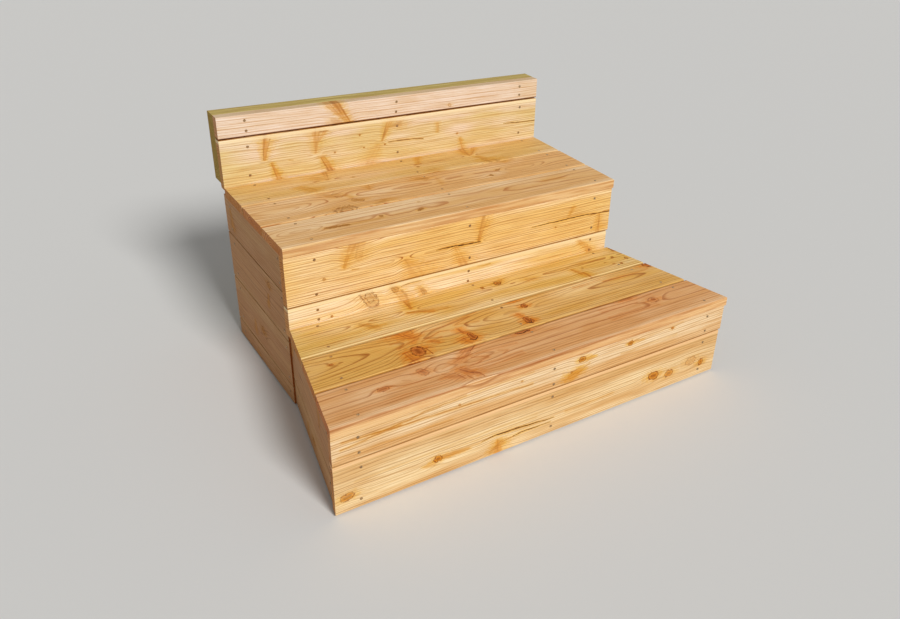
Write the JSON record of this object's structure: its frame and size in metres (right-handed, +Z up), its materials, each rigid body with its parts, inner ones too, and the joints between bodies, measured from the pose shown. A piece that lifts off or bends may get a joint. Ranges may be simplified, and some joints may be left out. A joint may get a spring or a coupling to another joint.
{
  "type": "wooden deck stairs",
  "caption": "Closed wooden box steps for the edge of a deck, with board treads and risers, boarded sides and a lower step that flares out on both sides.",
  "frame": {"origin": "on the ground, at the middle of the whole outline in plan", "axes": "+X along the treads to the right as one walks up, +Y towards the deck, +Z up"},
  "size_m": [1.254, 0.963, 0.7],
  "materials": {
    "pale_board": "fresh planed softwood, pale pink and straw, matt",
    "amber_board": "fresh planed softwood, amber with red knots, matt",
    "salmon_board": "fresh planed heartwood, salmon, matt",
    "side_board": "fresh planed softwood, tan, matt",
    "frame_timber": "pressure-treated softwood, green and straw, matt",
    "screw": "dull steel"
  },
  "bodies": {
    "root": {"upper_tread_back": "amber_board", "upper_tread_middle": "amber_board", "upper_tread_front": "amber_board", "lower_tread_back": "amber_board", "lower_tread_middle": "amber_board", "lower_tread_front": "salmon_board", "top_riser_strip": "pale_board", "top_riser_board": "pale_board", "upper_riser_board": "pale_board", "upper_riser_strip": "pale_board", "lower_riser_strip": "pale_board", "lower_riser_board": "pale_board", "left_side_course_1": "side_board", "left_side_course_2": "side_board", "left_side_course_3": "side_board", "left_side_course_4": "side_board", "right_side_course_1": "side_board", "right_side_course_2": "side_board", "right_side_course_3": "side_board", "right_side_course_4": "side_board", "left_flared_side_top": "side_board", "left_flared_side_bottom": "side_board", "right_flared_side_top": "side_board", "right_flared_side_bottom": "side_board", "ledger": "frame_timber", "back_rail": "frame_timber", "back_post_left": "frame_timber", "back_post_middle": "frame_timber", "back_post_right": "frame_timber", "upper_upright_left": "frame_timber", "upper_upright_middle": "frame_timber", "upper_upright_right": "frame_timber", "upper_bearer_left": "frame_timber", "upper_bearer_middle": "frame_timber", "upper_bearer_right": "frame_timber", "lower_upright_left": "frame_timber", "lower_upright_middle": "frame_timber", "lower_upright_right": "frame_timber", "lower_bearer_left": "frame_timber", "lower_bearer_middle": "frame_timber", "lower_bearer_right": "frame_timber"}
  },
  "joints": []
}
